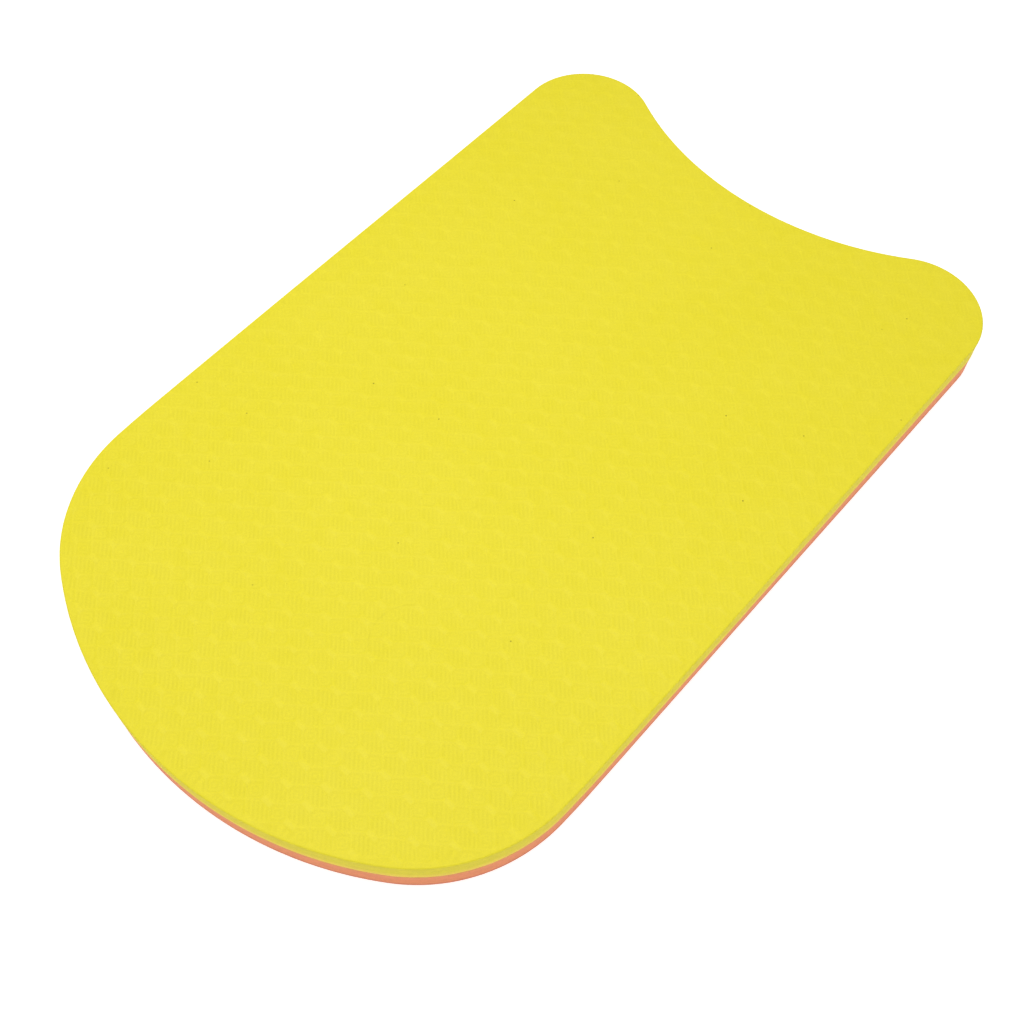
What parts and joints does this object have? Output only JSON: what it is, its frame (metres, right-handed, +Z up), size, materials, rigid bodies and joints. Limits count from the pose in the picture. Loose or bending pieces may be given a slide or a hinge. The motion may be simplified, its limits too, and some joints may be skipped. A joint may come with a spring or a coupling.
{
  "type": "kickboard float",
  "caption": "Flat foam kickboard for swimming, with a rounded nose, straight sides and a scooped tail, laminated from a yellow foam sheet and a coral foam sheet.",
  "frame": {"origin": "on the underside, in the middle of the board's length and width", "axes": "+Y towards the rounded nose, -Y towards the scooped tail, +Z up out of the yellow face, X across the board"},
  "size_m": [0.2894, 0.45, 0.025],
  "materials": {
    "yellow_foam": "matte closed-cell foam with a fine embossed grain",
    "glue": "dried contact glue, satin, seen only as a thin line round the edge",
    "coral_foam": "matte closed-cell foam with a fine embossed grain"
  },
  "bodies": {
    "root": {"upper_foam_sheet": "yellow_foam", "glue_film": "glue", "lower_foam_sheet": "coral_foam"}
  },
  "joints": []
}
